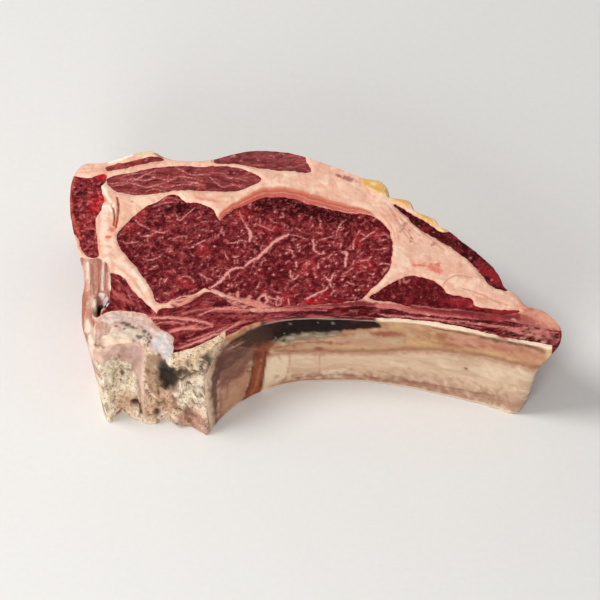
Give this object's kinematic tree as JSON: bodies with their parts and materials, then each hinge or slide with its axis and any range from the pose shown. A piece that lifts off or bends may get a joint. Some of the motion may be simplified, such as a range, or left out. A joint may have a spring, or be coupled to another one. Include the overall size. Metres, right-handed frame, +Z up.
{
  "type": "bone-in beef rib steak",
  "caption": "Thick raw beef steak on its rib: marbled eye and side muscles in fat, with sawn backbone at one end, lying flat.",
  "frame": {"origin": "middle of the steak's outline, on the face it rests on", "axes": "+Z up out of the upper cut face; +X from the backbone to the rib's tip; +Y away from the rib"},
  "size_m": [0.25, 0.1484, 0.052],
  "materials": {
    "muscle": "raw red muscle with fine white marbling, moist",
    "pale_muscle": "paler raw muscle with wavy white veins, moist",
    "fat": "cream to pink firm fat, slightly greasy",
    "membrane": "thin brown membrane, glossy where it is dark",
    "cartilage": "white to pale pink cartilage, smooth",
    "ligament": "pale torn sinew and fat, moist",
    "bone": "beige rib bone, satin",
    "porous_bone": "sawn spongy bone, rough and pitted"
  },
  "bodies": {
    "root": {"rib_bone": "bone", "backbone": "porous_bone", "cartilage": "cartilage", "ligament": "ligament", "pleura": "membrane", "rib_eye": "muscle", "eye_lobe": "muscle", "cap_muscle": "pale_muscle", "back_strip": "pale_muscle", "corner_strip": "pale_muscle", "chine_muscle": "muscle", "outer_strip": "muscle", "flank_muscle": "muscle", "inner_wedge": "muscle", "rib_meat": "muscle", "fat": "fat"}
  },
  "joints": []
}
